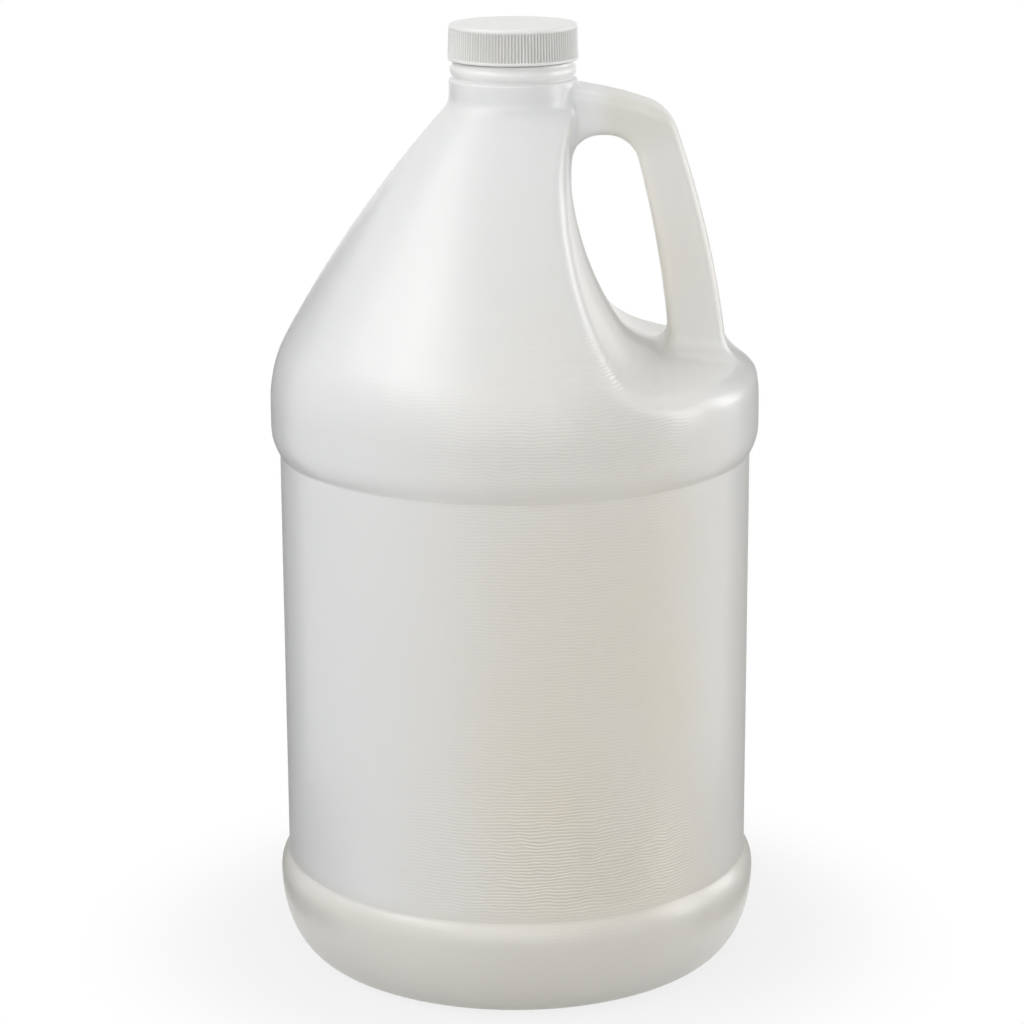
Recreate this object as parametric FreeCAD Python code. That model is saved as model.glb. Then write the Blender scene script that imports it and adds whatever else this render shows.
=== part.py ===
import FreeCAD, Part
import math
import os

from FreeCAD import Vector

# A one-gallon blow-moulded jug with a hollow handle, its ribbed screw cap and the cap's foam liner.
# Millimetres, +Z up, origin at the centre of the base on the jug's axis, handle along +X.

# Jug body, from the base up
body_radius = 77.0        # the two bumper bands
panel_depth = 2.65        # the label panel lies this far inside the bands
wall = 1.2                # blown wall
base_ring_width = 4.0     # flat ring that the jug stands on
base_rise = 6.0           # push-up at the base's centre
heel_reach = 13.1         # the heel curves in by this much
heel_height = 26.3
base_band_round = 3.5     # height of the base band's rounded top
panel_height = 133.4
tuck_height = 7.9         # rounded underside of the shoulder band
band_height = 10.2        # straight part of the shoulder band
shoulder_arc = 42.0
shoulder_lean = 29.0      # degrees from upright where the shoulder becomes the cone
cone_arc = 387.0          # the cone bulges slightly
neck_fillet = 6.5

# Neck finish: a continuous-thread finish of the 38 mm class
thread_diameter = 37.3    # over the thread's crests
thread_height = 1.15
thread_pitch = 25.4 / 6
thread_turns = 1.2
thread_root_width = 2.3
thread_crest_width = 1.1
thread_sink = 0.25        # how far a thread's foot lies inside its wall
finish_height = 10.0      # from the bead up to the rim
finish_wall = 1.9         # from the bore to the thread's root
neck_step = 1.25          # the neck stands out past the thread's crests
land_height = 4.5         # plain neck under the bead
groove_depth = 1.1
groove_height = 1.3
bead_height = 3.6
bead_swell = 0.8          # the bead stands out past its groove
rim_round = 0.5

# Hand recess
ledge_rise = 16.4         # ledge above the top of the straight band
ledge_width = 39.1        # from the band in to the recess wall
ledge_fillet = 8.0
ledge_fall = 0.09         # slope of the ledge, away from the middle plane
recess_bite = 2.4         # deepest cut of the recess inside the neck's radius
recess_drop = 22.5        # that deepest point, below the neck
recess_draft = 0.04       # slope of the recess wall, away from the middle plane
recess_lean = 6.0         # degrees, upper part of the recess wall
recess_round = 5.0        # rounded rim of the recess

# Handle: an arm out of the neck and a grip down to the ledge
handle_thickness = 22.0   # across the middle plane
handle_round = 5.5
handle_setback = 10.7     # foot of the handle, in from the band
handle_reach = 28.4       # top corner, out from the neck
handle_drop = 4.7         # top corner, below the neck
handle_corner = 13.0
handle_bulge = 2.2
grip_top = 12.1           # grip's width at the top and at the foot
grip_foot = 18.0
grip_corner = 9.0
grip_bulge = 1.75
arm_rise = 3.2            # arm's top at the neck, above the start of the plain neck
arm_drop = 12.5           # arm's underside, below it
arm_bulge = 1.0
arm_root_corner = 8.0
arm_root_bite = 1.3       # the arm's underside turns down here, inside the neck's radius
arm_root_run = 2.1        # and runs on down into the recess wall
arm_root_fall = 12.0
arm_depth = 14.0          # the arm reaches this far into the neck before the hollow is taken out
foot_depth = 12.0         # the foot reaches this far under the ledge

# Cap and liner
cap_top = 1.4
cap_wall = 0.9            # from the bore to the valleys between the ribs
cap_draft = 0.35          # the skirt is this much wider at its foot
cap_gap = 1.4             # between the cap's foot and the bead
cap_bead_height = 0.8     # plain ring under the ribs
cap_rim_height = 1.3      # plain ring over the ribs
cap_rim_round = 0.9
cap_thread_start = 0.6    # turns after the start of the neck's thread
cap_thread_turns = 1.1
rib_count = 125
rib_depth = 0.3
liner_thickness = 1.0
liner_clearance = 0.35
thread_clearance = 0.3    # between the two threads, along the axis and across it

# Two edges or points this near count as one place
same_place = 0.01

# Places that follow from the sizes above
panel_radius = body_radius - panel_depth
ring_radius = body_radius - heel_reach
panel_top = heel_height + base_band_round + panel_height
band_bottom = panel_top + tuck_height
band_top = band_bottom + band_height
crest_radius = thread_diameter / 2
root_radius = crest_radius - thread_height
bore_radius = root_radius - finish_wall
neck_radius = crest_radius + neck_step
lean = math.radians(shoulder_lean)
shoulder_centre = Vector(body_radius - shoulder_arc, 0, band_top)
cone_centre = shoulder_centre - Vector(math.cos(lean), 0, math.sin(lean)) * (cone_arc - shoulder_arc)
fillet_x = neck_radius + neck_fillet
cone_end = math.acos((fillet_x - cone_centre.x) / (cone_arc + neck_fillet))
neck_start = cone_centre.z + (cone_arc + neck_fillet) * math.sin(cone_end)
land_top = neck_start + land_height
bead_bottom = land_top + groove_height
bead_top = bead_bottom + bead_height
rim = bead_top + finish_height
neck_thread_start = rim - finish_height / 2 - thread_pitch * thread_turns / 2
ledge = band_top + ledge_rise
cap_foot = bead_top + cap_gap
cap_ceiling = rim + liner_thickness
cap_crown = cap_ceiling + cap_top
cap_bore = crest_radius + thread_clearance


def flat(x, z):
    """A point of the middle plane, which holds the handle."""
    return Vector(x, 0, z)


def line(start, end):
    return Part.LineSegment(start, end).toShape()


def arc(centre, radius, start, end):
    """Part of a circle in the middle plane, between two angles measured from +X towards +Z."""
    angles = (start, (start + end) / 2, end)
    return Part.Arc(*[centre + flat(math.cos(a), math.sin(a)) * radius for a in angles]).toShape()


def bowed(start, end, bulge):
    """An arc between two points that stands out to the left of the way from start to end by bulge."""
    along = (end - start).normalize()
    outwards = flat(-along.z, along.x)
    return Part.Arc(start, (start + end) * 0.5 + outwards * bulge, end).toShape()


def last_point(edges):
    return edges[-1].valueAt(edges[-1].LastParameter)


def turned(edges):
    """A solid of revolution about the jug's axis."""
    face = Part.Face(Part.Wire(edges))
    return face.revolve(Vector(0, 0, 0), Vector(0, 0, 1), 360)


def edges_on_both(shape, first, second):
    """The edges of a shape that lie on the faces of two others: where one was cut by the other."""
    first_faces = Part.Compound(first.Faces)
    second_faces = Part.Compound(second.Faces)
    chosen = []
    for edge in shape.Edges:
        middle = Part.Vertex(edge.valueAt((edge.FirstParameter + edge.LastParameter) / 2))
        on_first = first_faces.distToShape(middle)[0] < same_place
        if on_first and second_faces.distToShape(middle)[0] < same_place:
            chosen.append(edge)
    return chosen


def body_outline(inset):
    """Half outline from the base's centre to the plain neck, moved into the material by inset."""
    edges = []
    dome_edge = ring_radius - base_ring_width
    dome_arc = (dome_edge ** 2 + base_rise ** 2) / (2 * base_rise)
    dome_centre = flat(0, base_rise - dome_arc)
    dome_end = math.asin((inset - dome_centre.z) / (dome_arc + inset))
    edges.append(arc(dome_centre, dome_arc + inset, math.pi / 2, dome_end))
    edges.append(line(last_point(edges), flat(ring_radius, inset)))
    heel_centre = flat(ring_radius, heel_height)
    heel_top = heel_centre + flat(0, heel_height - inset)
    heel_side = heel_centre + flat(heel_reach - inset, 0)
    heel = Part.Ellipse(heel_top, heel_side, heel_centre)
    edges.append(Part.ArcOfEllipse(heel, math.pi / 2, math.pi).toShape())
    round_arc = (panel_depth ** 2 + base_band_round ** 2) / (2 * panel_depth)
    round_centre = flat(body_radius - round_arc, heel_height)
    round_end = math.acos((panel_radius - inset - round_centre.x) / (round_arc - inset))
    edges.append(arc(round_centre, round_arc - inset, 0, round_end))
    tuck_arc = (panel_depth ** 2 + tuck_height ** 2) / (2 * panel_depth)
    tuck_centre = flat(body_radius - tuck_arc, band_bottom)
    tuck_start = -math.acos((panel_radius - inset - tuck_centre.x) / (tuck_arc - inset))
    tuck = arc(tuck_centre, tuck_arc - inset, tuck_start, 0)
    edges.append(line(last_point(edges), tuck.valueAt(tuck.FirstParameter)))
    edges.append(tuck)
    edges.append(line(last_point(edges), flat(body_radius - inset, band_top)))
    edges.append(arc(shoulder_centre, shoulder_arc - inset, 0, lean))
    edges.append(arc(cone_centre, cone_arc - inset, lean, cone_end))
    edges.append(arc(flat(fillet_x, neck_start), neck_fillet + inset, math.pi + cone_end, math.pi))
    return edges


def outer_body():
    """The body and its neck finish as one full block, with the thread left out."""
    groove_radius = neck_radius - groove_depth
    groove_middle = flat(groove_radius, land_top + groove_height / 2)
    bead_middle = flat(groove_radius + bead_swell, (bead_bottom + bead_top) / 2)
    edges = body_outline(0)
    edges.append(line(last_point(edges), flat(neck_radius, land_top)))
    edges.append(Part.Arc(last_point(edges), groove_middle, flat(groove_radius, bead_bottom)).toShape())
    edges.append(Part.Arc(last_point(edges), bead_middle, flat(groove_radius, bead_top)).toShape())
    edges.append(line(last_point(edges), flat(root_radius, bead_top)))
    edges.append(line(last_point(edges), flat(root_radius, rim - rim_round)))
    edges.append(arc(flat(root_radius - rim_round, rim - rim_round), rim_round, 0, math.pi / 2))
    edges.append(line(last_point(edges), flat(0, rim)))
    edges.append(line(flat(0, rim), flat(0, base_rise)))
    return turned(edges)


def inner_body():
    """The space inside the body, with the throat narrowing to the bore of the mouth."""
    above_rim = rim + finish_wall
    edges = body_outline(wall)
    edges.append(line(last_point(edges), flat(bore_radius, land_top)))
    edges.append(line(last_point(edges), flat(bore_radius, above_rim)))
    edges.append(line(last_point(edges), flat(0, above_rim)))
    edges.append(line(flat(0, above_rim), flat(0, base_rise + wall)))
    return turned(edges)


def recess(inset):
    """The space of the hand recess on both sides of the handle, grown into the material by inset."""
    deepest = flat(neck_radius - recess_bite, neck_start - recess_drop)
    across = body_radius - ledge_width - deepest.x
    down = deepest.z - ledge
    wall_arc = (across ** 2 + down ** 2) / (2 * across)
    centre = deepest + flat(wall_arc, 0)
    slant = math.radians(recess_lean)
    corner_z = ledge + ledge_fillet
    corner_run = math.sqrt((wall_arc - ledge_fillet) ** 2 - (centre.z - corner_z) ** 2)
    corner = flat(centre.x - corner_run, corner_z)
    wall_end = math.pi + math.atan2(centre.z - corner_z, corner_run)
    wall_edge = arc(centre, wall_arc + inset, math.pi - slant, wall_end)
    wall_start = wall_edge.valueAt(wall_edge.FirstParameter)
    high = wall_start + flat(math.tan(slant), 1) * (cap_crown - wall_start.z)
    outside = 2 * body_radius
    edges = [line(high, wall_start), wall_edge]
    edges.append(arc(corner, ledge_fillet + inset, wall_end, 1.5 * math.pi))
    edges.append(line(last_point(edges), flat(outside, ledge - inset)))
    edges.append(line(last_point(edges), flat(outside, cap_crown)))
    edges.append(line(last_point(edges), high))
    face = Part.Face(Part.Wire(edges))
    sides = [face.extrude(Vector(-recess_draft, y, -ledge_fall) * body_radius) for y in (-1, 1)]
    return sides[0].fuse(sides[1])


def nearest_crosswise_edge(block, corner):
    """The edge across the handle that lies nearest to a corner of its outline."""
    boxes = [(edge, edge.BoundBox) for edge in block.Edges]
    crosswise = [pair for pair in boxes if max(pair[1].XLength, pair[1].ZLength) < same_place]
    return min(crosswise, key=lambda pair: (flat(pair[1].XMin, pair[1].ZMin) - corner).Length)[0]


def long_edges(block, half, arm_end, foot_end):
    """The edges that run along the handle's two flat sides, without those of its buried ends."""
    chosen = []
    for edge in block.Edges:
        box = edge.BoundBox
        on_side = box.YLength < same_place and abs(abs(box.YMin) - half) < same_place
        at_arm_end = box.XMax < arm_end + same_place
        at_foot_end = box.ZMax < foot_end + same_place
        if on_side and not at_arm_end and not at_foot_end:
            chosen.append(edge)
    return chosen


def handle(inset):
    """The handle as a block with rounded edges, shrunk by inset. Its ends are buried in the body."""
    arm_end = neck_radius - arm_depth
    foot_end = ledge - foot_depth
    arm_start = flat(neck_radius, neck_start + arm_rise)
    top_corner = flat(neck_radius + handle_reach, neck_start - handle_drop)
    foot_outer = flat(body_radius - handle_setback, ledge)
    foot_inner = foot_outer - flat(grip_foot, 0)
    grip_start = flat(top_corner.x - grip_top, neck_start - arm_drop)
    root = flat(neck_radius - arm_root_bite, grip_start.z)
    root_end = root - flat(arm_root_run, arm_root_fall)
    edges = [
        line(flat(arm_end, arm_start.z), arm_start),
        bowed(arm_start, top_corner, arm_bulge),
        bowed(top_corner, foot_outer, handle_bulge),
        line(foot_outer, flat(foot_outer.x, foot_end)),
        line(flat(foot_outer.x, foot_end), flat(foot_inner.x, foot_end)),
        line(flat(foot_inner.x, foot_end), foot_inner),
        bowed(foot_inner, grip_start, -grip_bulge),
        line(grip_start, root),
        line(root, root_end),
        line(root_end, flat(arm_end, root_end.z)),
        line(flat(arm_end, root_end.z), flat(arm_end, arm_start.z)),
    ]
    outline = Part.Wire(edges)
    if inset:
        meet_at_corners = 2
        outline = outline.makeOffset2D(-inset, meet_at_corners)
    half = handle_thickness / 2 - inset
    face = Part.Face(outline)
    face.translate(Vector(0, -half, 0))
    block = face.extrude(Vector(0, 2 * half, 0))
    corners = (
        (top_corner, handle_corner - inset),
        (grip_start, grip_corner + inset),
        (root, arm_root_corner + inset),
    )
    for corner, radius in corners:
        block = block.makeFillet(radius, [nearest_crosswise_edge(block, corner)])
    return block.makeFillet(handle_round - inset, long_edges(block, half, arm_end + inset, foot_end + inset))


def with_handle(body, inset):
    """A body with the hand recess taken out, the recess's rim rounded and the handle joined on."""
    space = recess(inset)
    cut = body.cut(space)
    cut = cut.makeFillet(recess_round - inset, edges_on_both(cut, body, space))
    return cut.fuse(handle(inset))


def thread(root, crest, start_z, start_turn, turns):
    """A ridge of trapezoid section wound right-handed about the axis, from a root to a crest radius."""
    helix = Part.makeHelix(thread_pitch, thread_pitch * turns, root)
    foot = root + math.copysign(thread_sink, root - crest)
    half_root = thread_root_width / 2
    half_crest = thread_crest_width / 2
    lower = [flat(foot, -half_root), flat(crest, -half_crest)]
    upper = [flat(crest, half_crest), flat(foot, half_root)]
    section = Part.makePolygon(lower + upper + lower[:1])
    ridge = Part.Wire(helix).makePipeShell([section], True, True)
    ridge.rotate(Vector(0, 0, 0), Vector(0, 0, 1), 360 * start_turn)
    ridge.translate(Vector(0, 0, start_z))
    return ridge


def make_jug():
    """One blown skin: the outer form less the inner form, and the thread on the neck."""
    skin = with_handle(outer_body(), 0).cut(with_handle(inner_body(), wall))
    ridge = thread(root_radius, crest_radius, neck_thread_start, 0, thread_turns)
    return skin.fuse(ridge).removeSplitter()


def scalloped(valley, z):
    """A closed wire with one small arc for each rib."""
    step = 2 * math.pi / rib_count
    tip = valley + rib_depth

    def at(radius, turn):
        return Vector(radius * math.cos(turn * step), radius * math.sin(turn * step), z)

    ribs = [Part.Arc(at(valley, i), at(tip, i + 0.5), at(valley, i + 1)) for i in range(rib_count)]
    return Part.Wire([rib.toShape() for rib in ribs])


def make_cap():
    """A moulded cap: a ribbed skirt between two plain rings, a flat top, and a thread inside."""
    valley_foot = cap_bore + cap_wall
    valley_top = valley_foot - cap_draft
    crown_radius = valley_top + rib_depth
    ribs_bottom = cap_foot + cap_bead_height
    ribs_top = cap_crown - cap_rim_height
    round_start = flat(crown_radius, cap_crown - cap_rim_round)
    crown_edges = [
        line(flat(0, ribs_top), flat(crown_radius, ribs_top)),
        line(flat(crown_radius, ribs_top), round_start),
        arc(round_start - flat(cap_rim_round, 0), cap_rim_round, 0, math.pi / 2),
        line(flat(crown_radius - cap_rim_round, cap_crown), flat(0, cap_crown)),
        line(flat(0, cap_crown), flat(0, ribs_top)),
    ]
    skirt = Part.makeLoft([scalloped(valley_foot, ribs_bottom), scalloped(valley_top, ribs_top)], True, True)
    bead = Part.makeCylinder(valley_foot + rib_depth, cap_bead_height, Vector(0, 0, cap_foot))
    cavity = Part.makeCylinder(cap_bore, cap_ceiling - cap_foot, Vector(0, 0, cap_foot))
    shell = bead.fuse([skirt, turned(crown_edges)]).cut(cavity)
    below_neck_thread = (thread_root_width + thread_crest_width) / 2 + thread_clearance
    ridge_z = neck_thread_start + thread_pitch * cap_thread_start - below_neck_thread
    ridge = thread(cap_bore, root_radius + thread_clearance, ridge_z, cap_thread_start, cap_thread_turns)
    return shell.fuse(ridge).removeSplitter()


def make_liner():
    """A foam disc inside the cap, which seals it on the rim of the neck."""
    return Part.makeCylinder(cap_bore - liner_clearance, liner_thickness, Vector(0, 0, rim))


os.makedirs("parts", exist_ok=True)
pieces = {"jug": make_jug(), "cap": make_cap(), "cap_liner": make_liner()}
for name, shape in pieces.items():
    state = "valid" if shape.isValid() else "not valid"
    print(name, len(shape.Solids), "solid", state, round(shape.Volume), "mm3")
    shape.exportStep(f"parts/{name}.step")
print("overall", 2 * body_radius, "mm across,", round(cap_crown, 2), "mm tall, rim at", round(rim, 2))
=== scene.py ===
import bpy
import numpy as np
from mathutils import Matrix, Vector


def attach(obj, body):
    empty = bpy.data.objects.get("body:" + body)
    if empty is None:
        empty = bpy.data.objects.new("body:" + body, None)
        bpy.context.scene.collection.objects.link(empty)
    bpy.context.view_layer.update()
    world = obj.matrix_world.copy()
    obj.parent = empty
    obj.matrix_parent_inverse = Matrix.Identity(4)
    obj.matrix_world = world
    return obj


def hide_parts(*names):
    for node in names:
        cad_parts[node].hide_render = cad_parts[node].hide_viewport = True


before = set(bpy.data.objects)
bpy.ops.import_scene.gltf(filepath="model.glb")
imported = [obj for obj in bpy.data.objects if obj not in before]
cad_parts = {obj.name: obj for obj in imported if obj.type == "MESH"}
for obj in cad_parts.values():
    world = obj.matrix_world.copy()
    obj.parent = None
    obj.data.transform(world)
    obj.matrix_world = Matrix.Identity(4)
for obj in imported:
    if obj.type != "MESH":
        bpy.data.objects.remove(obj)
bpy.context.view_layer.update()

# Jug. One skin of natural polyethylene: body, hollow handle, neck and its thread. A hot tube of plastic is
# blown out against a mould of two halves, so the wall is about even and every corner is rounded.
# Sizes are in millimetres, +Z up, with the handle along +X and the halves meeting at Y = 0.
mm = 0.001
full_turn = 2 * np.pi
wall = 1.2
body_radius = 77.0
panel_radius = 74.35
ring_inside = 59.9
ring_radius = 63.9
base_rise = 6.0
heel_height = 25.3
panel_bottom = 32.2
panel_top = 164.9
band_bottom = 173.2
band_top = 181.3
shoulder_arc = 42.0
shoulder_lean = np.radians(29)
cone_arc = 387.0
neck_fillet = 6.5
neck_radius = 19.9
shoulder_x = body_radius - shoulder_arc
cone_x = shoulder_x - (cone_arc - shoulder_arc) * np.cos(shoulder_lean)
cone_z = band_top - (cone_arc - shoulder_arc) * np.sin(shoulder_lean)
fillet_x = neck_radius + neck_fillet
cone_end = np.arccos((fillet_x - cone_x) / (cone_arc + neck_fillet))
neck_start = cone_z + (cone_arc + neck_fillet) * np.sin(cone_end)


def inside_both(first, second, rounding):
    """Distance to what lies inside two shapes, with the edge where they meet rounded."""
    corner = np.hypot(np.maximum(rounding + first, 0), np.maximum(rounding + second, 0))
    return np.minimum(-rounding, np.maximum(first, second)) + corner


def inside_either(first, second, fillet):
    """Distance to what lies inside one of two shapes, with a fillet in the corner between them."""
    corner = np.hypot(np.maximum(fillet - first, 0), np.maximum(fillet - second, 0))
    return np.maximum(fillet, np.minimum(first, second)) - corner


def body_distance(x, y, z):
    """Distance to the turned body: straight band, shoulder arc, long cone arc, hollow arc, straight neck."""
    reach = np.hypot(x, y)
    past_shoulder = (z - band_top) * np.cos(shoulder_lean) - (reach - shoulder_x) * np.sin(shoulder_lean)
    past_cone = (z - cone_z) * np.cos(cone_end) - (reach - cone_x) * np.sin(cone_end)
    return np.select(
        [z < band_top, past_shoulder < 0, past_cone < 0, z < neck_start],
        [
            reach - body_radius,
            np.hypot(reach - shoulder_x, z - band_top) - shoulder_arc,
            np.hypot(reach - cone_x, z - cone_z) - cone_arc,
            neck_fillet - np.hypot(np.minimum(reach - fillet_x, 0), z - neck_start),
        ],
        reach - neck_radius,
    )


# The hand recess: its ledge, its wall towards the neck, and the rounding of its rim at two heights
ledge = 197.7
ledge_fillet = 8.0
ledge_fall = 0.078
ledge_fall_out = 0.12
ledge_fall_start = 45.0
recess_deepest = (17.3, neck_start - 18.5)
recess_foot = 38.7
recess_draft = 0.04
recess_lean = np.radians(6)
recess_rim_heights = (255, 272)
recess_rim_sizes = (5.0, 0.6)
recess_top = neck_start + 1
pinch_round = 0.8


def recess_distance(x, y, z):
    """Distance to the hand recess: right of a wall that is an arc with a straight top, and over a ledge.
    Wall and ledge slope away from the pinch line at Y = 0, where the two halves of the mould meet."""
    side = np.hypot(y, pinch_round) - pinch_round
    across = x + recess_draft * side
    up = z + ledge_fall * side + ledge_fall_out * np.maximum(x - ledge_fall_start, 0)
    run = recess_foot - recess_deepest[0]
    drop = recess_deepest[1] - ledge
    arc = (run ** 2 + drop ** 2) / (2 * run)
    from_x = across - recess_deepest[0] - arc
    from_z = up - recess_deepest[1]
    straight_top = from_z * np.sin(recess_lean) - from_x * np.cos(recess_lean)
    above = from_x * np.sin(recess_lean) + from_z * np.cos(recess_lean) > 0
    wall_side = np.where(above, straight_top, np.hypot(from_x, from_z)) - arc
    return np.maximum(inside_both(wall_side, ledge - up, ledge_fillet), z - recess_top)


# The handle, by the corners of its side view: the arm from the neck, the grip down to the ledge, and the hole
handle_half = 11.0
handle_round = 3.4
arm_start = (neck_radius, neck_start + 2.9)
top_corner = (48.6, neck_start - 5.0)
foot_outer = (66.3, ledge)
foot_inner = (48.9, ledge)
grip_start = (36.3, neck_start - 11.8)
arm_root = (18.6, grip_start[1])
arm_root_slope = 2.1 / 12
arm_bulge = 1.0
back_bulge = 2.2
hole_bulge = 1.75
top_round = 4.5
grip_round = 7.0
root_round = 8.0
arm_end = 5.9
foot_end = ledge - 12


def bowed_side(x, z, start, end, bulge):
    """Distance outside the circle whose arc runs from start to end and stands out by bulge at its middle.
    With a bulge to the right of the way the circle lies on the left."""
    start, end = np.array(start), np.array(end)
    chord = np.hypot(*(end - start))
    radius = (chord ** 2 / 4 + bulge ** 2) / (2 * bulge)
    right = np.array([end[1] - start[1], start[0] - end[0]]) / chord
    centre = (start + end) / 2 - right * (radius - bulge)
    return np.hypot(x - centre[0], z - centre[1]) - radius


def handle_distance(x, y, z):
    """Distance to the handle: inside its bowed top and back, outside the finger hole, between its sides."""
    arm_top = bowed_side(x, z, top_corner, arm_start, arm_bulge)
    back = inside_both(arm_top, bowed_side(x, z, foot_outer, top_corner, back_bulge), top_round)
    hole = inside_both(bowed_side(x, z, foot_inner, grip_start, hole_bulge), z - grip_start[1], grip_round)
    root = (arm_root[0] - x + (z - arm_root[1]) * arm_root_slope) / np.hypot(1, arm_root_slope)
    hole = inside_both(hole, root, root_round)
    solid = inside_both(np.maximum(back, -hole), np.abs(y) - handle_half, handle_round)
    return np.maximum(solid, np.maximum(arm_end - x, foot_end - z))


# The fillet where the handle runs into the body, at each of these heights
fillet_heights = (200, 225, 262, 275, 279.5)
fillet_sizes = (7.5, 4.0, 3.0, 2.5, 0.8)


def jug_distance(x, y, z):
    """Distance to the jug's outside above the band: the body less the recess, with the handle run into it."""
    recess_rim = np.interp(z, recess_rim_heights, recess_rim_sizes)
    cut = inside_both(body_distance(x, y, z), -recess_distance(x, y, z), recess_rim)
    fillet = np.interp(z, fillet_heights, fillet_sizes)
    return inside_either(cut, handle_distance(x, y, z), fillet)


def net_of_skin(depth, angles, heights, reaches):
    """Points and quads of the skin that lies depth inside the jug, from a lattice about its axis.
    Each lattice cell that the skin crosses gets one point, the mean of the crossings on its edges,
    and each crossed edge makes a quad of the points in the four cells round it."""
    ring = np.append(angles, angles[0] + full_turn)
    turn, high, out = np.meshgrid(ring, heights, reaches, indexing="ij")
    spots = np.stack([out * np.cos(turn), out * np.sin(turn), high], axis=-1)
    value = jug_distance(*np.moveaxis(spots, -1, 0)) + depth
    cells = np.array(value.shape) - 1
    step = np.eye(3, dtype=int)
    owners, crossings, quads = [], [], []
    for axis in range(3):
        right, up = step[(axis + 1) % 3], step[(axis + 2) % 3]
        first = np.delete(value, -1, axis)
        second = np.delete(value, 0, axis)
        edge = np.argwhere((first < 0) != (second < 0))
        edge = edge[edge[:, 0] < cells[0]]
        start, end = first[tuple(edge.T)], second[tuple(edge.T)]
        near, far = spots[tuple(edge.T)], spots[tuple((edge + step[axis]).T)]
        crossing = near + (start / (start - end))[:, None] * (far - near)
        round_edge = edge[:, None, :] - np.array([right + up, up, 0 * up, right])
        round_edge[..., 0] %= cells[0]
        within = ((round_edge >= 0) & (round_edge < cells)).all(-1)
        cell = np.ravel_multi_index(tuple(np.moveaxis(np.clip(round_edge, 0, cells - 1), -1, 0)), cells)
        owners.append(cell[within])
        crossings.append(np.repeat(crossing[:, None], 4, axis=1)[within])
        quad = np.where((start < 0)[:, None], cell, cell[:, ::-1])
        quads.append(quad[within.all(-1)])
    used, owner = np.unique(np.concatenate(owners), return_inverse=True)
    crossings = np.concatenate(crossings)
    sums = [np.bincount(owner, weights=crossings[:, axis]) for axis in range(3)]
    points = np.stack(sums, axis=1) / np.bincount(owner)[:, None]
    row = np.unravel_index(used, cells)[1]
    return points, np.searchsorted(used, np.concatenate(quads)), row == 0, row == cells[1] - 1


def slope_of_skin(points):
    """The way out of the skin at each point, from differences of the distance to either side."""
    small = 0.01
    ahead = [jug_distance(*(points + small * axis).T) for axis in np.eye(3)]
    behind = [jug_distance(*(points - small * axis).T) for axis in np.eye(3)]
    return (np.array(ahead) - np.array(behind)).T / (2 * small)


spreading_rounds = 8
settling_rounds = 4


def evened(points, quads, held, depth):
    """The net with its points spread evenly: each goes to the mean of its neighbours, then back to the skin.
    The last rounds only settle the points on the skin."""
    edges = np.concatenate([quads[:, [0, 1]], quads[:, [1, 2]], quads[:, [2, 3]], quads[:, [3, 0]]])
    count = np.bincount(edges.ravel(), minlength=len(points))[:, None]
    for done in range(spreading_rounds + settling_rounds):
        if done < spreading_rounds:
            total = np.zeros_like(points)
            np.add.at(total, edges[:, 0], points[edges[:, 1]])
            np.add.at(total, edges[:, 1], points[edges[:, 0]])
            points = np.where(held[:, None], points, total / count)
        slope = slope_of_skin(points)
        miss = jug_distance(*points.T) + depth
        points = points - slope * (miss / (slope ** 2).sum(1))[:, None]
    return points


# The lattice is closer round the handle, and has more rows where the skin bends most. The turned rows below
# and above the net stand at the middle of its cells.
handle_turn = np.radians(80)
near_handle = np.linspace(-handle_turn, handle_turn, 150)
round_back = np.linspace(handle_turn, full_turn - handle_turn, 52)[1:-1]
angles = np.concatenate([near_handle, round_back])
columns = angles + np.diff(np.append(angles, angles[0] + full_turn)) / 2
net_bottom, net_top = 176.0, 281.0
last_row = net_top - 0.4
stretch_ends = (net_bottom, 184, 208, 250, last_row)
stretch_rows = (4, 24, 25, 32)
stretches = zip(stretch_ends, stretch_ends[1:], stretch_rows)
fine_rows = [np.linspace(start, end, count, endpoint=False) for start, end, count in stretches]
fine_heights = np.concatenate([*fine_rows, [last_row, net_top]])
coarse_heights = np.append(np.linspace(net_bottom, last_row, 42), net_top)
nearest, farthest = 12.8, 79.9
fine_reaches = np.linspace(nearest, farthest, 62)
coarse_reaches = np.linspace(nearest, farthest, 32)
outer_points, outer_quads, outer_low, outer_high = net_of_skin(0, angles, fine_heights, fine_reaches)
inner_points, inner_quads, inner_low, inner_high = net_of_skin(wall, angles, coarse_heights, coarse_reaches)
outer_points = evened(outer_points, outer_quads, outer_low | outer_high, 0)
inner_points = evened(inner_points, inner_quads, inner_low | inner_high, wall)


def arc_rows(centre, radii, start, end, count):
    """Points on an arc of an ellipse, as distance from the axis and height, between two angles."""
    angle = np.linspace(start, end, count)
    return np.stack([centre[0] + radii[0] * np.cos(angle), centre[1] + radii[1] * np.sin(angle)], axis=1)


def outline_rows(reach, height):
    """Points of an outline, as distances from the axis and heights. Either may be one number for all."""
    return np.stack(np.broadcast_arrays(reach, height), axis=1)


# The fan that closes a turned end begins at this distance from the axis
fan_radius = 6.0
crease_rows = np.array([0.4, 1.2])
panel_rows = np.linspace(40, 155, 6)
band_row = band_bottom + 2.5


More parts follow.
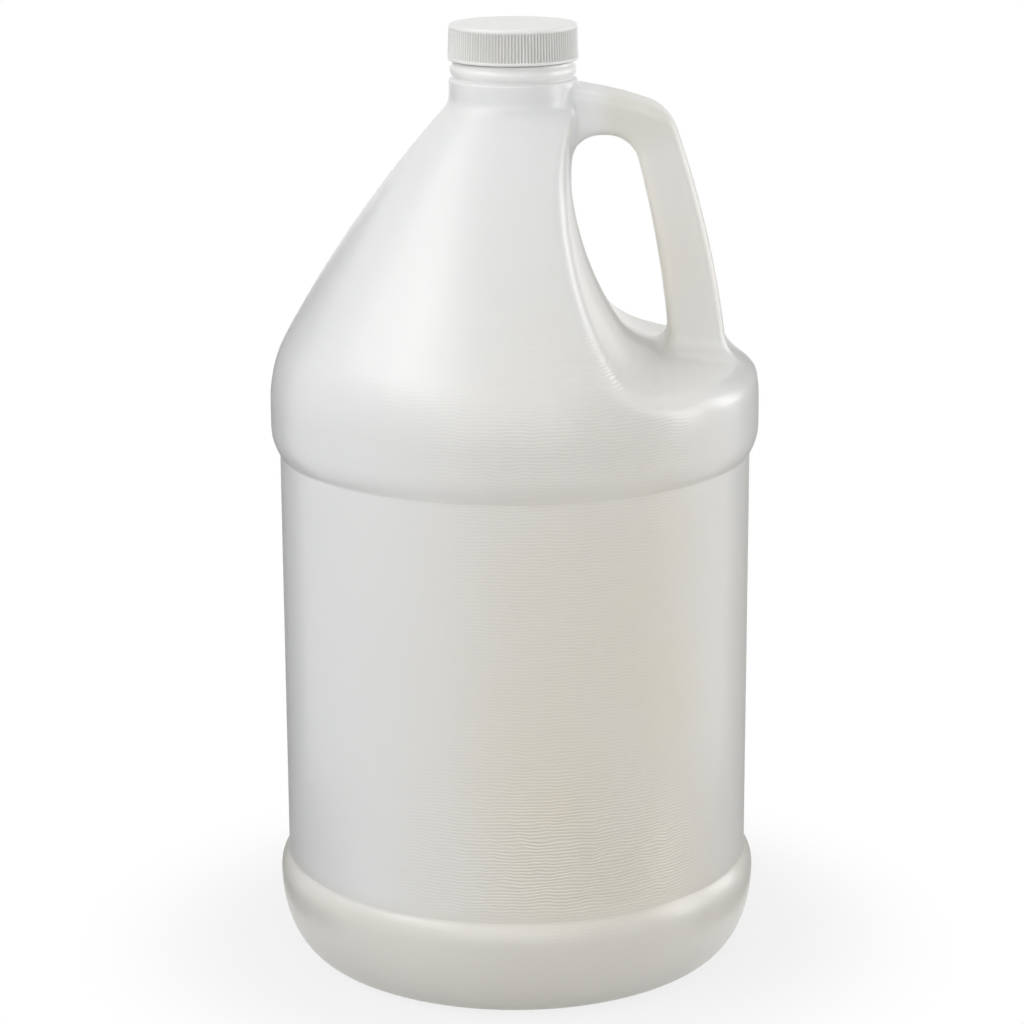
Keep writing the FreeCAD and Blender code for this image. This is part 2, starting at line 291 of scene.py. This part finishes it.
def lower_rows(inset):
    """The turned body's outline from its base up to the net: pushed-up base, standing ring, rounded heel,
    rounded top of the base band, straight panel, rounded underside of the shoulder band."""
    depth = body_radius - panel_radius
    dome_arc = (ring_inside ** 2 + base_rise ** 2) / (2 * base_rise)
    dome_reach = np.linspace(fan_radius, ring_inside, 9)
    dome_height = np.sqrt((dome_arc + inset) ** 2 - dome_reach ** 2) + base_rise - dome_arc
    dome = np.stack([dome_reach, np.maximum(dome_height, inset)], axis=1)
    heel_radii = (body_radius - ring_radius - inset, heel_height - inset)
    heel = arc_rows((ring_radius, heel_height), heel_radii, -np.pi / 2, 0, count=22)
    round_arc = (depth ** 2 + (panel_bottom - heel_height) ** 2) / (2 * depth)
    round_end = np.arccos((round_arc - depth) / (round_arc - inset))
    top = arc_rows((body_radius - round_arc, heel_height), [round_arc - inset] * 2, 0, round_end, count=9)
    tuck_arc = (depth ** 2 + (band_bottom - panel_top) ** 2) / (2 * depth)
    tuck_start = -np.arccos((tuck_arc - depth) / (tuck_arc - inset))
    tuck = arc_rows((body_radius - tuck_arc, band_bottom), [tuck_arc - inset] * 2, tuck_start, 0, count=10)
    panel_heights = np.concatenate([top[-1, 1] + crease_rows, panel_rows, tuck[0, 1] - crease_rows[::-1]])
    panel = outline_rows(panel_radius - inset, panel_heights)
    band = np.array([[body_radius - inset, band_row]])
    return np.concatenate([dome, heel, top[1:], panel, tuck, band])


# The neck's finish: a plain land, a groove, a bead and a collar under the cap, a single right-hand thread of
# six turns to the inch, and a round rim
land_top = neck_start + 4.5
bead_bottom = land_top + 1.3
bead_top = bead_bottom + 3.6
rim = bead_top + 10.0
groove_radius = neck_radius - 1.1
groove_end = bead_bottom - 0.35
bead_swell = 0.8
collar_radius = groove_radius - 0.1
collar_bottom = bead_top + 0.2
collar_top = bead_top + 1.05
collar_edge = 0.15
thread_root = 17.5
thread_height = 1.15
thread_pitch = 25.4 / 6
thread_turns = 1.2
thread_half_foot = 1.15
thread_half_crest = 0.55
thread_start = rim - 5.0 - thread_pitch * thread_turns / 2
thread_end_taper = 0.03
thread_foot = thread_root + 0.3
rim_round = 0.5
bore = 15.6
throat_heights = (rim - 3, bead_bottom + 1, land_top + 1.2)
throat_foot = (neck_radius - wall - 1.2, land_top + 0.2)


def thread_share(turn, height, start_turn, start_height, turns):
    """How far the thread stands out, from 0 to 1, at a turn about the axis and a height: a ridge with sloping
    sides about a helix that climbs one pitch a turn, tapered at both ends."""
    share = np.zeros(np.broadcast(turn, height).shape)
    for lap in range(3):
        along = turn % 1 + lap - start_turn
        off = np.abs(height - start_height - thread_pitch * along)
        side = np.clip((thread_half_foot - off) / (thread_half_foot - thread_half_crest), 0, 1)
        ends = np.clip(np.minimum(along, turns - along) / thread_end_taper, 0, 1)
        share = np.maximum(share, side * ends)
    return share


def turned_rows(outline, around, relief=0.0):
    """Rows of points about the axis, one for each point of an outline: reach and height of that point,
    at each angle around, with the reach changed by the relief."""
    reach = outline[:, 0, None] + relief
    height = outline[:, 1, None]
    return np.stack(np.broadcast_arrays(reach * np.cos(around), reach * np.sin(around), height), axis=-1)


groove_fall = np.linspace(0, np.pi, 7)
groove_reach = groove_radius + (neck_radius - groove_radius) * (1 + np.cos(groove_fall)) / 2
neck_groove = outline_rows(groove_reach, np.linspace(land_top, groove_end, 7))
bead_arc = ((bead_top - bead_bottom) ** 2 / 4 + bead_swell ** 2) / (2 * bead_swell)
bead_half = np.arcsin((bead_top - bead_bottom) / 2 / bead_arc)
bead_centre = (groove_radius + bead_swell - bead_arc, (bead_bottom + bead_top) / 2)
bead = arc_rows(bead_centre, [bead_arc] * 2, -bead_half, bead_half, count=13)
collar = np.array([
    [collar_radius, collar_bottom],
    [collar_radius, collar_top - collar_edge],
    [collar_radius - collar_edge, collar_top],
    [thread_foot, collar_top],
])
thread_heights = np.linspace(collar_top, rim - rim_round, 30)
thread_relief = thread_height * thread_share(
    columns / full_turn, thread_heights[:, None], 0, thread_start, thread_turns
)
thread_rows = turned_rows(outline_rows(thread_root, thread_heights), columns, thread_relief)
rim_centre = rim - rim_round
rim_outside = arc_rows((thread_root - rim_round, rim_centre), [rim_round] * 2, 0, np.pi / 2, count=5)[1:]
rim_inside = arc_rows((bore + rim_round, rim_centre), [rim_round] * 2, np.pi / 2, np.pi, count=5)
throat = np.concatenate([outline_rows(bore, throat_heights), [throat_foot]])


def bridged(lower, upper):
    """Quads between rings of points, going round the axis and back to the start."""
    corners = [lower, np.roll(lower, -1, axis=1), np.roll(upper, -1, axis=1), upper]
    return np.stack(corners, axis=-1).reshape(-1, 4)


def joined(*parts):
    """One mesh out of rows and nets that follow each other: neighbouring rings are joined by quads.
    A part is either an array of rows or a net with its quads, its first ring and its last ring."""
    points, faces, last_ring = [], [], None
    count = 0
    for part in parts:
        if isinstance(part, tuple):
            found, quads, first, last = part
            faces.append(quads + count)
            first_ring, ring = np.flatnonzero(first) + count, np.flatnonzero(last) + count
        else:
            found = part.reshape(-1, 3)
            rows = np.arange(len(found)).reshape(part.shape[:2]) + count
            faces.append(bridged(rows[:-1], rows[1:]))
            first_ring, ring = rows[0], rows[-1]
        if last_ring is not None:
            faces.append(bridged(last_ring[None], first_ring[None]))
        points.append(found)
        count += len(found)
        last_ring = ring
    return np.concatenate(points), np.concatenate(faces)


def closed_mesh(name, points, quads, size):
    """An object from points in millimetres and quads, with its first and last ring, each of that size,
    closed by a fan to a point on the axis."""
    ends = np.array([[0, 0, points[0, 2]], [0, 0, points[-1, 2]]])
    first, last = np.arange(size), np.arange(size) + len(points) - size
    start_fan = np.stack([np.full(size, len(points)), np.roll(first, -1), first], axis=1)
    end_fan = np.stack([last, np.roll(last, -1), np.full(size, len(points) + 1)], axis=1)
    mesh = bpy.data.meshes.new(name)
    faces = quads.tolist() + start_fan.tolist() + end_fan.tolist()
    mesh.from_pydata(np.concatenate([points, ends]) * mm, [], faces)
    mesh.shade_smooth()
    made = bpy.data.objects.new(name, mesh)
    bpy.context.scene.collection.objects.link(made)
    return made


jug_points, jug_quads = joined(
    turned_rows(lower_rows(0), columns),
    (outer_points, outer_quads, outer_low, outer_high),
    turned_rows(np.concatenate([neck_groove, bead, collar]), columns),
    thread_rows,
    turned_rows(np.concatenate([rim_outside, rim_inside, throat]), columns),
    (inner_points, inner_quads[:, ::-1], inner_high, inner_low),
    turned_rows(lower_rows(wall), columns)[::-1],
)
jug = closed_mesh("jug_skin", jug_points, jug_quads, len(columns))


def linear(colour):
    """An sRGB hex colour as linear red, green, blue and alpha."""
    share = np.array([int(colour[i:i + 2], 16) for i in (1, 3, 5)]) / 255
    return (*np.where(share <= 0.04045, share / 12.92, ((share + 0.055) / 1.055) ** 2.4), 1.0)


def add(tree, kind, inputs=None, **settings):
    """Adds a node: inputs are values, or sockets of other nodes to link, by the input's name or place."""
    made = tree.nodes.new(kind)
    for name, value in settings.items():
        setattr(made, name, value)
    for name, value in (inputs or {}).items():
        if isinstance(value, bpy.types.NodeSocket):
            tree.links.new(value, made.inputs[name])
        else:
            made.inputs[name].default_value = value
    return made


# Natural polyethylene, blown: milky and see-through, so light goes in at one side and makes the wall glow.
# It has a satin gloss and fine level ripples from the hot plastic's flow, which are strongest low down. Its
# colour has a painted warm glow to the right and low down, for light that comes through the wall, a warmer
# tone on the handle, and painted shade on the base and on the handle's arm. A faint raised line runs where
# the halves of the mould met.
ripple_spacing = 1.05
ripple_height = 0.17
ripple_waviness = 6.0
ripple_bend = 7.0
grain_size = 0.5
grain_height = 0.004
cloud_size = 45.0
parting_width = 0.35
parting_height = 0.05
scatter_depth = 3.0
polyethylene = bpy.data.materials.new("natural_polyethylene_blown")
polyethylene.use_nodes = True
jug_tree = polyethylene.node_tree
jug_shader = jug_tree.nodes["Principled BSDF"]
jug_shader.inputs["IOR"].default_value = 1.54
jug_shader.inputs["Specular IOR Level"].default_value = 0.45
jug_shader.inputs["Subsurface Weight"].default_value = 0.6
jug_shader.inputs["Subsurface Radius"].default_value = (1.0, 0.95, 0.85)
jug_shader.inputs["Subsurface Scale"].default_value = scatter_depth * mm
jug_place = add(jug_tree, "ShaderNodeTexCoord").outputs["Object"]
jug_axes = add(jug_tree, "ShaderNodeSeparateXYZ", {0: jug_place})
clouds = add(jug_tree, "ShaderNodeTexNoise", {
    "Vector": jug_place, "Scale": 1 / (cloud_size * mm), "Detail": 2.0,
}).outputs[0]
clouded = add(jug_tree, "ShaderNodeMapRange", {
    "Value": clouds, "From Min": 0.3, "From Max": 0.7, "To Min": 0.7, "To Max": 1.0,
}).outputs["Result"]

# At a scale of 1, the wave node makes this many waves in a unit of length
waves_a_unit = 20 / full_turn
ripples = add(jug_tree, "ShaderNodeTexWave", {
    "Vector": jug_place, "Scale": 1 / (waves_a_unit * ripple_spacing * mm), "Distortion": ripple_waviness,
    "Detail": 1.5, "Detail Scale": waves_a_unit * ripple_spacing / ripple_bend,
}, wave_type="BANDS", bands_direction="Z").outputs["Fac"]

# Where the jug has each effect: the product of steps along an axis, each from one place to another in
# millimetres, with the effect's share before the first and past the second. Two are clouded as well.
spreads = {
    # Strong low down, more to the right, and less at the right edge, on the base and up the handle
    "ripples": (
        ("Z", 46, 94, 1.0, 0.32), ("X", -65, 30, 0.02, 1.0), ("X", 34, 64, 1.0, 0.08),
        ("Z", 32, 39, 0.1, 1.0), ("Z", 205, 228, 1.0, 0.1),
    ),
    # Painted warm glow of light through the wall: more to the right and low down, and less at the right edge
    "painted_warm_glow": (("X", -60, 15, 0.0, 1.0), ("X", 40, 76, 1.0, 0.4), ("Z", 100, 290, 1.0, 0.0)),
    "warm_handle": (("X", 22, 34, 0.0, 0.3), ("Z", 200, 230, 0.0, 1.0)),
    # Painted shade low down, over the base and fading out above the rounded top of its band
    "painted_shade_base": (("Z", 28, 38, 0.9, 0.0),),
    # Painted shadow of the neck and cap on the handle's arm
    "painted_shadow_arm": (("X", 24, 32, 0.0, 0.9), ("Z", 255, 270, 0.0, 1.0)),
}
clouded_spreads = ("ripples", "painted_warm_glow")
shares = {}
for effect, steps in spreads.items():
    share = clouded if effect in clouded_spreads else 1.0
    for axis, start, end, share_before, share_past in steps:
        step = add(jug_tree, "ShaderNodeMapRange", {
            "Value": jug_axes.outputs[axis], "From Min": start * mm, "From Max": end * mm,
            "To Min": share_before, "To Max": share_past,
        }, interpolation_type="SMOOTHSTEP").outputs["Result"]
        share = add(jug_tree, "ShaderNodeMath", {0: share, 1: step}, operation="MULTIPLY").outputs[0]
    shares[effect] = share
warmth = add(jug_tree, "ShaderNodeMath", {
    0: shares["painted_warm_glow"], 1: shares["warm_handle"],
}, operation="ADD").outputs[0]
painted_shade = add(jug_tree, "ShaderNodeMath", {
    0: shares["painted_shade_base"], 1: shares["painted_shadow_arm"],
}, operation="ADD").outputs[0]

# The places of a colour Mix node's sockets, whose names repeat: its share, its two colours and its result
mix_share, mix_first, mix_second, mix_result = 0, 6, 7, 2
# The base tone warmed by the painted warm glow, then turned to a darker, warmer grey by the painted shade
glow_tone = add(jug_tree, "ShaderNodeMix", {
    mix_share: warmth, mix_first: linear("#F0F0EE"), mix_second: linear("#EFE7D6"),
}, data_type="RGBA").outputs[mix_result]
jug_tone = add(jug_tree, "ShaderNodeMix", {
    mix_share: painted_shade, mix_first: glow_tone, mix_second: linear("#E4E1D8"),
}, data_type="RGBA").outputs[mix_result]
jug_tree.links.new(jug_tone, jug_shader.inputs["Base Color"])
grain = add(jug_tree, "ShaderNodeTexNoise", {
    "Vector": jug_place, "Scale": 1 / (grain_size * mm), "Detail": 1.0,
}).outputs[0]
off_parting = add(jug_tree, "ShaderNodeMath", {0: jug_axes.outputs["Y"]}, operation="ABSOLUTE").outputs[0]
relief = add(jug_tree, "ShaderNodeMapRange", {
    "Value": off_parting, "From Max": parting_width * mm, "To Min": parting_height, "To Max": 0.0,
}, interpolation_type="SMOOTHSTEP").outputs["Result"]
ripple_relief = add(jug_tree, "ShaderNodeMath", {
    0: ripples, 1: ripple_height,
}, operation="MULTIPLY").outputs[0]
for pattern, amount in ((grain, grain_height), (ripple_relief, shares["ripples"])):
    sum_so_far = add(jug_tree, "ShaderNodeMath", {0: pattern, 1: amount, 2: relief}, operation="MULTIPLY_ADD")
    relief = sum_so_far.outputs[0]
jug_bump = add(jug_tree, "ShaderNodeBump", {"Height": relief, "Distance": mm})
jug_tree.links.new(jug_bump.outputs["Normal"], jug_shader.inputs["Normal"])
jug_satin = add(jug_tree, "ShaderNodeMapRange", {"Value": clouds, "To Min": 0.28, "To Max": 0.31})
jug_tree.links.new(jug_satin.outputs["Result"], jug_shader.inputs["Roughness"])
jug.data.materials.append(polyethylene)
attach(jug, "jug")
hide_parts("jug")

# Cap liner. A disc of white polyethylene foam that lies in the top of the cap and seals it on the neck's rim.
# It is cut flat from sheet, which is what the model's own disc shows, so it stays and only gets its finish.
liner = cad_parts["cap_liner"]

# Polyethylene foam: soft white with small closed cells, drawn coarser than they are so that they show
cell_size = 0.6
cell_height = 0.06
foam = bpy.data.materials.new("white_polyethylene_foam")
foam.use_nodes = True
foam_tree = foam.node_tree
foam_shader = foam_tree.nodes["Principled BSDF"]
foam_shader.inputs["Roughness"].default_value = 0.7
foam_shader.inputs["IOR"].default_value = 1.5
foam_place = add(foam_tree, "ShaderNodeTexCoord").outputs["Object"]
cells = add(foam_tree, "ShaderNodeTexVoronoi", {
    "Vector": foam_place, "Scale": 1 / (cell_size * mm),
}).outputs["Distance"]
foam_tone = add(foam_tree, "ShaderNodeMix", {
    mix_share: cells, mix_first: linear("#DEDEDA"), mix_second: linear("#F2F2F0"),
}, data_type="RGBA").outputs[mix_result]
foam_tree.links.new(foam_tone, foam_shader.inputs["Base Color"])
foam_bump = add(foam_tree, "ShaderNodeBump", {"Height": cells, "Distance": cell_height * mm})
foam_tree.links.new(foam_bump.outputs["Normal"], foam_shader.inputs["Normal"])
liner.data.materials.clear()
liner.data.materials.append(foam)

# Cap. A white screw cap, moulded in one piece of polypropylene: a plain flat top with a rounded edge, a skirt
# with fine upright ribs for the grip, a plain band round its foot, and one turn of thread inside.
cap_foot = bead_top + 1.4
cap_ceiling = rim + 1.0
cap_crown = cap_ceiling + 1.4
cap_bore = 18.95
cap_thread_start = cap_foot + 1.6
cap_thread_turn = 0.6
cap_thread_turns = 1.1
ceiling_edge = 0.3
mouth_edge = 0.2
foot_radius = 20.15
foot_edge = 0.25
foot_edge_middle = 0.07
crown_radius = 19.8
crown_round = 0.9
rib_count = 125
rib_depth = 0.5
rib_bottom = cap_foot + 0.8
rib_top = cap_crown - 1.15
rib_rise = 0.35
rib_run_out = 0.8
band_edge = rib_bottom - 0.15
columns_a_rib = 8
cap_columns = np.arange(rib_count * columns_a_rib) * full_turn / (rib_count * columns_a_rib)
ceiling_reaches = (fan_radius, 14, cap_bore - ceiling_edge)
crown_reaches = (17, 12, fan_radius)
ceiling = outline_rows(ceiling_reaches, cap_ceiling)
cavity_heights = np.linspace(cap_ceiling - ceiling_edge, cap_foot + mouth_edge, 28)
cavity_relief = -thread_height * thread_share(
    cap_columns / full_turn, cavity_heights[:, None], cap_thread_turn, cap_thread_start, cap_thread_turns
)
foot = np.array([
    [cap_bore + mouth_edge, cap_foot],
    [foot_radius - foot_edge, cap_foot],
    [foot_radius - foot_edge_middle, cap_foot + foot_edge_middle],
    [foot_radius, cap_foot + foot_edge],
    [foot_radius, band_edge],
])

# Ribs: narrow crests, each the square of a raised cosine, that rise over the foot's band and run out at the
# top, with grooves between them
rib_heights = np.concatenate([
    np.linspace(rib_bottom, rib_bottom + rib_rise, 5), np.linspace(rib_top - rib_run_out, rib_top, 7),
])
rib_tips = np.interp(rib_heights, [rib_bottom, rib_top], [foot_radius, crown_radius])
rise = np.clip((rib_heights - rib_bottom) / rib_rise, 0, 1)
run_out = np.clip((rib_top - rib_heights) / rib_run_out, 0, 1)
groove_share = np.sin(np.minimum(rise, run_out) * np.pi / 2)
valley = 1 - (0.5 + 0.5 * np.cos(rib_count * cap_columns)) ** 2
rib_relief = -rib_depth * groove_share[:, None] * valley
edge_centre = (crown_radius - crown_round, cap_crown - crown_round)
crown_edge = arc_rows(edge_centre, [crown_round] * 2, 0, np.pi / 2, count=9)
crown = outline_rows(crown_reaches, cap_crown)
cap_points, cap_quads = joined(
    turned_rows(ceiling, cap_columns),
    turned_rows(outline_rows(cap_bore, cavity_heights), cap_columns, cavity_relief),
    turned_rows(foot, cap_columns),
    turned_rows(outline_rows(rib_tips, rib_heights), cap_columns, rib_relief),
    turned_rows(np.concatenate([crown_edge, crown]), cap_columns),
)
cap = closed_mesh("ribbed_cap", cap_points, cap_quads, len(cap_columns))
groove_depth = np.zeros(len(cap.data.vertices))
ribs_from = (len(ceiling) + len(cavity_heights) + len(foot)) * len(cap_columns)
groove_depth[ribs_from:ribs_from + rib_relief.size] = -rib_relief.ravel() / rib_depth
cap.data.attributes.new("groove_depth", "FLOAT", "POINT").data.foreach_set("value", groove_depth)

# White polypropylene, moulded: clean opaque white with a soft gloss, painted shade that greys it down in the
# grooves, and a fine satin grain from the mould, drawn coarser than it is so that it shows.
satin_size = 0.4
satin_height = 0.004
polypropylene = bpy.data.materials.new("white_polypropylene_moulded")
polypropylene.use_nodes = True
cap_tree = polypropylene.node_tree
cap_shader = cap_tree.nodes["Principled BSDF"]
cap_shader.inputs["IOR"].default_value = 1.49
cap_place = add(cap_tree, "ShaderNodeTexCoord").outputs["Object"]
# Painted shade: greyer the deeper the point lies in a groove
painted_groove_shade = add(cap_tree, "ShaderNodeAttribute", attribute_name="groove_depth").outputs["Fac"]
cap_tone = add(cap_tree, "ShaderNodeMix", {
    mix_share: painted_groove_shade, mix_first: linear("#F0F0EE"), mix_second: linear("#CAC9C5"),
}, data_type="RGBA").outputs[mix_result]
cap_tree.links.new(cap_tone, cap_shader.inputs["Base Color"])
cap_satin = add(cap_tree, "ShaderNodeTexNoise", {
    "Vector": cap_place, "Scale": 1 / (satin_size * mm), "Detail": 1.0,
}).outputs[0]
cap_gloss = add(cap_tree, "ShaderNodeMapRange", {"Value": cap_satin, "To Min": 0.29, "To Max": 0.42})
cap_tree.links.new(cap_gloss.outputs["Result"], cap_shader.inputs["Roughness"])
cap_bump = add(cap_tree, "ShaderNodeBump", {"Height": cap_satin, "Distance": satin_height * mm})
cap_tree.links.new(cap_bump.outputs["Normal"], cap_shader.inputs["Normal"])
cap.data.materials.append(polypropylene)
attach(cap, "cap")
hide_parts("cap")

# Studio. A matt white floor that runs out into a white backdrop, soft boxes to the left, in front, to the
# right, overhead and behind, and dark cards beside the jug. None of it is part of the jug. Sizes in metres.
floor_half = 6.0
floor_corners = np.array([[-1, -1, 0], [1, -1, 0], [1, 1, 0], [-1, 1, 0]]) * floor_half
floor_mesh = bpy.data.meshes.new("floor")
floor_mesh.from_pydata(floor_corners, [], [(0, 1, 2, 3)])
floor = bpy.data.objects.new("floor", floor_mesh)
bpy.context.scene.collection.objects.link(floor)


def seen_rays(tree):
    """A number that is 1 for rays that show the backdrop: to the camera, in gloss, through clear things."""
    rays = add(tree, "ShaderNodeLightPath").outputs
    seen = rays["Is Camera Ray"]
    for kind in ("Is Glossy Ray", "Is Transmission Ray"):
        seen = add(tree, "ShaderNodeMath", {0: seen, 1: rays[kind]}, operation="MAXIMUM").outputs[0]
    return seen


# Matt white paint that takes the jug's shadow near it and is plain white further out
shadow_reach = (0.08, 0.15)
shadow_strength = 0.2
floor_paint = bpy.data.materials.new("matt_white_floor_paint")
floor_paint.use_nodes = True
floor_tree = floor_paint.node_tree
paint = floor_tree.nodes["Principled BSDF"]
paint.inputs["Base Color"].default_value = linear("#CFCFCF")
paint.inputs["Roughness"].default_value = 0.9
paint.inputs["Specular IOR Level"].default_value = 0
floor_place = add(floor_tree, "ShaderNodeTexCoord").outputs["Object"]
distance = add(floor_tree, "ShaderNodeVectorMath", {0: floor_place}, operation="LENGTH").outputs["Value"]
white_share = add(floor_tree, "ShaderNodeMapRange", {
    "Value": distance, "From Min": shadow_reach[0], "From Max": shadow_reach[1],
    "To Min": 1 - shadow_strength, "To Max": 1.0,
}, interpolation_type="SMOOTHSTEP").outputs["Result"]
glow = add(floor_tree, "ShaderNodeMath", {0: seen_rays(floor_tree), 1: white_share}, operation="MULTIPLY")
white = add(floor_tree, "ShaderNodeEmission", {"Color": (1, 1, 1, 1), "Strength": 1.0})
mixed = add(floor_tree, "ShaderNodeMixShader", {0: glow.outputs[0], 1: paint.outputs[0], 2: white.outputs[0]})
floor_tree.links.new(mixed.outputs[0], floor_tree.nodes["Material Output"].inputs["Surface"])
floor_mesh.materials.append(floor_paint)

# The world: white where it is seen, and a weak plain light from all round
world_light = 0.1
world = bpy.data.worlds.new("studio")
bpy.context.scene.world = world
world.use_nodes = True
world_tree = world.node_tree
sky = world_tree.nodes["Background"]
sky.inputs["Color"].default_value = (1, 1, 1, 1)
strength = add(world_tree, "ShaderNodeMapRange", {
    "Value": seen_rays(world_tree), "To Min": world_light, "To Max": 1.0,
}).outputs["Result"]
world_tree.links.new(strength, sky.inputs["Strength"])

# Soft boxes, each turned to face the middle of the jug: its place, its width and height, its power in watts.
# The one behind would whiten the ledge and the cap's top in their gloss, so it only gives plain light.
jug_middle = Vector((0, 0, 0.17))
soft_boxes = {
    "left_box": ((-1.0, -0.18, 1.09), (0.8, 0.8), 4.6),
    "left_front_box": ((-0.85, -0.71, 0.97), (0.7, 0.7), 4.5),
    "front_box": ((-0.11, -1.28, 0.62), (1.6, 1.1), 8.0),
    "right_box": ((1.32, -0.12, 0.43), (0.4, 0.8), 5.4),
    "right_back_box": ((1.2, 0.56, 0.48), (0.4, 0.8), 4.5),
    "top_box": ((0.0, 0.16, 1.54), (0.7, 0.7), 4.2),
    "back_box": ((0.0, 1.3, 0.2), (0.5, 0.4), 2.4),
}
for box_name, (box_place, box_size, power) in soft_boxes.items():
    light = bpy.data.lights.new(box_name, "AREA")
    light.shape = "RECTANGLE"
    light.size, light.size_y = box_size
    light.energy = power
    lamp = bpy.data.objects.new(box_name, light)
    facing = (jug_middle - Vector(box_place)).to_track_quat("-Z", "Y").to_matrix().to_4x4()
    lamp.matrix_world = Matrix.Translation(box_place) @ facing
    lamp.visible_camera = False
    lamp.visible_glossy = box_name != "back_box"
    bpy.context.scene.collection.objects.link(lamp)

# Dark cards, one on each side: a strip along the floor beside the jug that bends up behind it. The gloss at
# the jug's edges shows them, so it stands clear of the white backdrop. Nothing else sees them, and they throw
# no shadow. Their outline is in Y and Z, and their reach in X.
card_reach = (0.095, 0.23)
card_outline = ((-0.05, 0.0005), (0.1, 0.0005), (0.1, 0.28))
card_corners = [(side * x, y, z) for side in (-1, 1) for y, z in card_outline for x in card_reach]
card_faces = [(first, first + 1, first + 3, first + 2) for first in (0, 2, 6, 8)]
card_mesh = bpy.data.meshes.new("dark_cards")
card_mesh.from_pydata(card_corners, [], card_faces)
cards = bpy.data.objects.new("dark_cards", card_mesh)
bpy.context.scene.collection.objects.link(cards)
card_paint = bpy.data.materials.new("matt_black_card")
card_paint.use_nodes = True
card_shader = card_paint.node_tree.nodes["Principled BSDF"]
card_shader.inputs["Base Color"].default_value = linear("#404040")
card_shader.inputs["Roughness"].default_value = 0.9
card_mesh.materials.append(card_paint)
cards.visible_camera = False
cards.visible_diffuse = False
cards.visible_transmission = False
cards.visible_shadow = False

# Camera: where the photograph was taken from, in millimetres and radians, and its lens on a 36 mm frame
camera_place = (0.0, -983.1, 407.1)
camera_pitch = 0.2625
camera_yaw = -0.00102
camera_roll = -0.00487
frame_width = 36
lens_length = 112.05
camera_data = bpy.data.cameras.new("camera")
camera_data.sensor_width = frame_width
camera_data.lens = lens_length
camera = bpy.data.objects.new("camera", camera_data)
camera.matrix_world = (
    Matrix.Translation(Vector(camera_place) * mm)
    @ Matrix.Rotation(-camera_yaw, 4, "Z")
    @ Matrix.Rotation(np.pi / 2 - camera_pitch, 4, "X")
    @ Matrix.Rotation(camera_roll, 4, "Z")
)
bpy.context.scene.collection.objects.link(camera)
bpy.context.scene.camera = camera
bpy.context.scene.view_settings.view_transform = "Standard"
